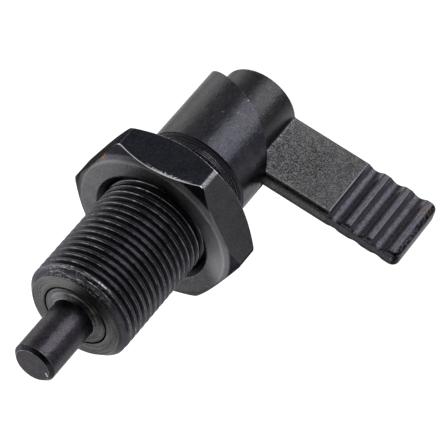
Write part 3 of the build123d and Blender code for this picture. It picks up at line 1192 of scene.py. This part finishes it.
# Towards 76 degrees the bush's face gets painted shade and stronger ring streaks, and lit_side gets
# painted light.
side_painted_for_light = bush.toward(76).rises(2.0, 4.5)
lit_side = bush.toward(145).rises(1.0, 4.0)
gain = 1 + lit_side * 0.35 - side_painted_for_light * 0.3 + grain.swing(2.4) + rings.swing(2.0 + side_painted_for_light * 3.0)
oxide = bush.tone(bush.mix(0.6, oxide_colour(bush, 3.0), BUSH_OXIDE), gain)
oxide = bush.mix(mouth * 0.35, oxide, BARE_STEEL)
foot_ring = bush.radius.close_to(LIP_FOOT + 0.1, 0.08, 0.26)
foot_ring = foot_ring * bush.turning(0.14, 5.0, 4.0).rises(0.35, 0.6)
foot_ring = foot_ring * bush.near(3.2, (0.6, 5.3, 0.0))
oxide = bush.mix(foot_ring * 0.9, oxide, BARE_STEEL)
oxide = bush.mix(bush.near(0.9, (3.0, 4.5, 0.0)) * 0.25, oxide, GOLDEN_STAIN)
seam = bush.radius.rises(BUSH_RADIUS - BUSH_SEAM, BUSH_RADIUS - 0.23)
oxide = bush.tone(oxide, 1 - seam * 0.85)
bush.surface(oxide, 0.42 + grain.swing(0.15), rings * 0.7 + grain * 0.8)

pin = blackened("blackened_pin")
on_tip = pin.z.rises(pin_high.z - 0.05, pin_high.z - 0.02)
grain = pin.cloud(0.28, 2.0, 0.65)
blotches = pin.cloud(1.4, 4.0, 0.65, (9.0, 0.0, 0.0))
# A painted highlight: the side towards 58 degrees is painted lighter, which widens the gloss
# stripe.
painted_stripe_highlight = pin.toward(58).rises(PIN_RADIUS - 0.12, PIN_RADIUS - 0.02)
gain = 1 + grain.swing(2.4) + blotches.swing(1.5) + painted_stripe_highlight * 0.25
oxide = pin.tone(pin.mix(0.5, oxide_colour(pin, 6.0), PIN_OXIDE), gain)
chips = pin.near(0.24, (2.78, 0.1, 12.6), (3.03, -0.27, 12.6))
bare = rubbed_edges(pin, 0.8, 7.0) * 0.17 + chips * 0.8 + specks(pin, 0.3, 3.0) * 0.12
rough = 0.31 + on_tip * 0.08 + blotches.swing(0.3) + grain.swing(0.16)
height = pin.turning(0.14, 5.0) * 0.3 + grain * 0.8 + blotches * 2.2
pin.surface(bared(pin, oxide, bare), rough, height)
print("bush and pin finishes:", len(bush.tree.nodes), "and", len(pin.tree.nodes), "nodes")

# %% [markdown]
# The nut was cut from hexagon bar. Its facets keep the smooth drawn skin of the bar, apart from
# one that a spanner has ground to a dull grey. Spanners have also bared the front edge of the
# facet beside it and the corner between the two. Marks like these are often painted by hand.
# Here each is a distance from a line or a point of the nut, and fine noise breaks up the bared
# ones, so they stay in place and sharp at any size.

# %% Where each surface of the nut lies
nut = blackened("blackened_nut", OILED_EDGE_GLOSS)


def on_facet(side):
    """1 on one of the nut's facets, numbered as the nut's columns are."""
    beyond = nut.toward(NUT_TURN + 60 * side + 30)
    return beyond.rises(NUT_FLATS / 2 - 0.07, NUT_FLATS / 2 - 0.03)


dull_facet, top_facet, left_facet = (on_facet(side) for side in range(3))
on_face = nut.z.rises(nut_high.z - 1.0, nut_high.z - 0.7) * nut.radius.falls(15.4, 15.8)
# Painted light lifts the nut's face towards 35 degrees.
side_painted_for_light = on_face * nut.toward(35).rises(8.0, 12.0)
# Painted light lifts the nut's face towards 170 degrees.
painted_lit_side = on_face * nut.toward(170).rises(6.0, 13.0)
# Painted shade darkens the face's inner ring towards 70 degrees, where the barrel hides the room
# from its gloss.
painted_shade_by_thread = on_face * nut.radius.falls(11.8, 13.6) * nut.toward(70).rises(7.0, 11.0)

# %% Nut finish
grain = nut.cloud(0.3, 2.0, 0.6)
drift = nut.cloud(3.0, 3.0, 0.6, (1.0, 0.0, 0.0))
fine = nut.cloud(0.4, 3.0, 0.75, (0.0, 3.0, 0.0))
gain = 1 + grain.swing(2.0 - dull_facet * 0.6) + drift.swing(0.7) + side_painted_for_light * 1.6
gain = gain - top_facet * 0.2 - left_facet * 0.7 + painted_lit_side * 0.35 - painted_shade_by_thread * 0.55
oxide = nut.mix(on_face, oxide_colour(nut, 9.0), NUT_FACE_OXIDE)
oxide = nut.mix(dull_facet, oxide, DULL_OXIDE)
# The top facet's darker, bluer colour is painted shade.
oxide = nut.tone(nut.mix(top_facet * 0.7, oxide, TOP_FACET_PAINTED_SHADE), gain)

corner_line = nut.toward(NUT_TURN + 60) + abs(nut.z - nut_middle) * 0.006
corner = corner_line.rises(NUT_CORNERS / 2 - 0.05, NUT_CORNERS / 2 - 0.01) * fine.rises(0.3, 0.7)
below_arc = nut_high.z - (nut.radius - NUT_FACE / 2) * NUT_CORNER_SLOPE - nut.z
spanner_band = (below_arc - (fine - 0.42) * 2.6).falls(0.0, 0.25) * top_facet
spanner_band = spanner_band * nut.near(4.8, (0.2, 15.2, -24.2))
edges = nut.worn() * (0.35 + nut.cloud(2.2, 2.0, 0.6) * 0.6 + fine * 0.6)
bare = edges.rises(0.62, 0.95) * 0.8 + corner * 0.13 + spanner_band * 0.85
oxide = bared(nut, oxide, bare + specks(nut, 0.32, 5.0) * 0.12)
blued = nut.near(0.9, (-10.9, 10.8, -23.7), (-11.3, 11.7, -25.6))
rusty = nut.near(0.55, (-12.1, 9.6, -23.7), (-12.1, 10.2, -24.1))
oxide = nut.mix(rusty * 0.6, nut.mix(blued * 0.3, oxide, BLUE_STAIN), RUST)
rough = 0.3 + dull_facet * 0.15 + left_facet * 0.3 + on_face * 0.14
rough = rough + drift.swing(0.14) + grain.swing(0.16)
nut.surface(oxide, rough, grain * (0.6 + dull_facet * 0.3) + drift * 1.2)
print("nut finish:", len(nut.tree.nodes), "nodes")

# %% [markdown]
# The lever is cast, blasted and blackened without any turning, so it keeps the skin of the mould:
# low swells, pits in clusters and a matt grain. The same noises darken the colour and lower the
# surface, so that each pit is dark just where it is deep. Fingers have polished the grip.

# %% Where each surface of the lever lies
lever = blackened("blackened_casting")
on_hub = lever.radius.falls(hub_radius + 0.05, hub_radius + 0.2)
on_grip = lever.x.rises(grip_start - 0.55, grip_start - 0.05)
on_arm = (1 - on_hub) * (1 - on_grip)
# Painted light: the arm is painted lighter near the hub.
painted_light_near_hub = on_arm * lever.x.falls(11.0, 19.0)
# Painted light on the hub beside the arm's root.
painted_light_near_root = on_hub * lever.toward(24).rises(6.7, 7.35)
root_line = (1 - on_hub) * lever.x.falls(hub_radius + 0.15, hub_radius + 0.35)
aside = abs(lever.y)
# On the grip, the valley walls get painted light and the valley bottoms painted shade.
wall = on_grip * aside.close_to(1.28, 0.08, 0.3)
bowl = on_grip * aside.falls(0.8, 1.05)
# Painted shade: lip is a dark band along the arm's front edge.
lip = (1 - on_hub) * lever.z.rises(ARM_FRONT - 0.6, ARM_FRONT - 0.3) * aside.rises(0.4, 0.9)
# rim and start are painted highlights: thin lines of bare steel's colour along the arm's front edge
# and at the grip's start.
rim = on_arm * lever.z.close_to(ARM_FRONT - 0.7, 0.05, 0.2) * aside.rises(1.6, 1.7)
start = lever.x.close_to(grip_start + 0.1, 0.08, 0.22) * aside.rises(1.3, 1.6)
near_end = lever.x.rises(arm_end - 1.3, arm_end - 0.8)
end_face = lever.x.rises(arm_end - 0.5, arm_end - 0.2)

# %% Lever finish
swell = lever.cloud(1.3, 4.0, 0.65, (3.0, 0.0, 0.0))
grain = lever.cloud(0.32, 2.0, 0.65)
fold = lever.cloud(0.75, 3.0, 0.6, (7.0, 0.0, 0.0), (1.0, 1.0, 1.3), (0.0, 35.0, 0.0))
wrinkle = fold.close_to(0.5, 0.0, 0.05) * on_arm
clustered = lever.near(9.0, (12.5, 1.8, -51.0)) * 0.20
pits = lever.cloud(0.36, 2.0, 0.5, (0.0, 5.0, 0.0)) + clustered + swell.swing(0.5)
pits = pits.rises(0.76, 0.81) * on_arm
oxide = lever.mix(on_hub, lever.mix(on_grip, CAST_OXIDE, GRIP_OXIDE), HUB_OXIDE)
oxide = lever.mix(root_line * 0.35, oxide, ROOT_SHEEN)
warm = lever.near(1.3, (36.2, 1.7, -55.4), (36.4, 1.7, -57.0))
cool = lever.near(1.3, (36.2, 1.7, -51.8), (24.6, 0.7, -49.5))
oxide = lever.mix(cool * 0.2, lever.mix(warm * 0.25, oxide, WARM_OIL), COOL_OIL)
gain = 1 + grain.swing(2.0 - on_arm) + swell.swing(0.7) - wrinkle * 0.25 - pits * 0.55
gain = gain + wall * 0.7 - bowl * 0.25 - lip * 0.6 + painted_light_near_root * 0.9
gain = gain + painted_light_near_hub * (0.28 - lip * 0.1) - near_end * 0.85 + end_face * 0.25
bare = rubbed_edges(lever, 0.74, 13.0) * 0.2 + specks(lever, 0.32, 8.0) * 0.15
# rim and start add painted highlights in bare steel's colour.
bare = bare + (rim * 0.12 + start * 0.07) * (0.4 + swell)
rough = 0.38 - on_hub * 0.05 - on_grip * 0.04 + grain.swing(0.2)
height = swell * 0.5 + grain * 0.45 - wrinkle * 0.5 - pits * 0.9
lever.surface(bared(lever, lever.tone(oxide, gain), bare), rough, height, CAST_BUMP_DEPTH)
print("lever finish:", len(lever.tree.nodes), "nodes")

# %% [markdown]
# Two pieces are hidden inside. The spring is drawn wire, bright under a thin oil film. The dowel
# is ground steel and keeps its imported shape. Neither shows while the pin is out, but a part that
# is taken to pieces should look right too.

# %% Spring and dowel finishes
spring = Finish("drawn_wire", {"Metallic": 1.0})
drawn = spring.cloud(0.25, 2.0, 0.6, (0.0, 0.0, 2.0))
spring.feed("Base Color", spring.mix(drawn, (0.20, 0.19, 0.18), (0.36, 0.35, 0.34)))
spring.feed("Roughness", 0.28 + drawn * 0.14)
dowel = Finish("ground_dowel", {"Metallic": 1.0})
ground = dowel.cloud(0.2, 2.0, 0.6, NOWHERE, (1.0, 8.0, 1.0))
dowel.feed("Base Color", dowel.mix(ground, (0.34, 0.34, 0.35), (0.50, 0.50, 0.51)))
dowel.feed("Roughness", 0.22 + ground * 0.16)
dowel_slots = bpy.data.objects["retaining_dowel"].material_slots
for dowel_slot in dowel_slots:
    dowel_slot.material = dowel.material
print("the dowel has", len(dowel_slots), "slots dressed")

# %% [markdown]
# ## The dressed pieces
# Each drawn piece rides on the body of the imported model that moves it, and takes the place of
# its imported node. The spring has a fixed end and a moving one. It stays on the body, with a
# mesh of its own, and the coil is out of sight inside the body.

# %% Pieces
make_piece("body", guide_mesh, body, "body", "guide_body")
make_piece("bush", bush_mesh, bush, "body", "guide_bush")
make_piece("pin", pin_mesh, pin, "plunger", "plunger_pin")
make_piece("nut", nut_mesh, nut, "nut", "lock_nut")
make_piece("lever_casting", lever_mesh, lever, "lever", "lever")
coil = make_piece("spring_coil", spring_mesh, spring, "body", "spring")
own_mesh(coil)
print("the spring closes to", round(spring_length - STROKE, 1), "mm")

# %% [markdown]
# ## Floor and light
# Plain white paper lies one stroke below the plunger, which leaves the lever room to come back
# when it is turned. The paper and the room are white to any ray that shows them, and plain light
# to every other ray. The gloss of the steel shows the room, but leaves the paper out.

# %% Floor and world
HALF_FLOOR = 3.0
FLOOR_GLOW = 0.93
ROOM_LIGHT = 0.45
BLACK, WHITE = (0.0, 0.0, 0.0), (1.0, 1.0, 1.0)
SQUARE = ((-1, -1), (1, -1), (1, 1), (-1, 1))


def sheet(name, corners, finish):
    """A flat sheet with four corners that belongs to the studio."""
    mesh = bpy.data.meshes.new(name)
    mesh.from_pydata(corners, [], [(0, 1, 2, 3)])
    mesh.materials.append(finish.material)
    made = bpy.data.objects.new(name, mesh)
    bpy.context.scene.collection.objects.link(made)
    return made


paper = Finish("white_paper", {
    "Base Color": (0.3, 0.3, 0.3, 1.0),
    "Roughness": 1.0,
    "Specular IOR Level": 0.0,
    "Emission Strength": FLOOR_GLOW,
})
paper.feed("Emission Color", paper.mix(paper.seen_directly(), BLACK, WHITE))
floor_level = cad_low.z - STROKE * MM
floor_corners = [(x * HALF_FLOOR, y * HALF_FLOOR, floor_level) for x, y in SQUARE]
floor = sheet("floor", floor_corners, paper)
floor.visible_glossy = False

world = bpy.data.worlds.new("studio")
bpy.context.scene.world = world
world.use_nodes = True
room = Board(world.node_tree)
room_colour = room.mix(room.seen_directly(), (ROOM_LIGHT, ROOM_LIGHT, ROOM_LIGHT), WHITE)
room.tree.links.new(room_colour.socket, room.tree.nodes["Background"].inputs["Color"])
print("floor at", round(floor_level / MM, 1), "mm")

# %% [markdown]
# Dark gloss has almost no colour of its own: what the eye sees is what the steel mirrors, so
# the studio is part of the finish. White surroundings give the grey sheen, large soft lamps
# behind draw the faces that look the pin's way, and three white cards mirror as soft stripes
# down every cylinder. Two dark cards keep the far side and the chamfers in front calm.

# %% Lamps and cards
AIM = Vector((0.0, 0.0, -0.02))
CARD_DISTANCE = 0.6


def direction(azimuth, elevation):
    """A unit vector from two angles in degrees."""
    turn, rise = radians(azimuth), radians(elevation)
    return Vector((cos(rise) * cos(turn), cos(rise) * sin(turn), sin(rise)))


def softbox(name, azimuth, elevation, distance, width, height, brightness):
    """A soft lamp whose face is as bright as brightness times white paper, in metres."""
    lamp = bpy.data.lights.new(name, "AREA")
    lamp.shape = "RECTANGLE"
    lamp.size, lamp.size_y = width, height
    lamp.energy = brightness * pi * width * height
    stand = bpy.data.objects.new(name, lamp)
    stand.location = AIM + direction(azimuth, elevation) * distance
    stand.rotation_mode = "QUATERNION"
    stand.rotation_quaternion = (AIM - stand.location).to_track_quat("-Z", "Y")
    bpy.context.scene.collection.objects.link(stand)
    print(name, "gives", round(lamp.energy, 2), "W")


def card(name, azimuth, elevation, width, height, brightness, colour=WHITE):
    """A card that faces the plunger, and that only the gloss of the steel shows.

    With no brightness it is a black flag."""
    centre = AIM + direction(azimuth, elevation) * CARD_DISTANCE
    side = direction(azimuth + 90, 0) * width / 2
    up = direction(azimuth + 180, 90 - elevation) * height / 2
    face = Finish(name, {
        "Base Color": (*BLACK, 1.0),
        "Specular IOR Level": 0.0,
        "Emission Color": (*colour, 1.0),
        "Emission Strength": brightness,
    })
    corners = [tuple(centre + a * side + b * up) for a, b in SQUARE]
    made = sheet(name, corners, face)
    made.visible_camera = made.visible_diffuse = made.visible_shadow = False


softbox("back_left", 225, 35, 0.45, 0.34, 0.26, 4.4)
softbox("back_right", 288, 36, 0.50, 0.20, 0.20, 3.0)
card("front_card", 74, -42, 0.436, 0.72, 6.2)
card("side_card", -30, -38, 0.344, 0.72, 2.2)
card("left_card", 178, -38, 0.344, 0.72, 3.0, (1.0, 0.97, 0.90))
card("far_card", 257, -38, 0.20, 0.72, 0.1)
card("front_flag", 76, 66, 0.9, 0.55, 0.0)
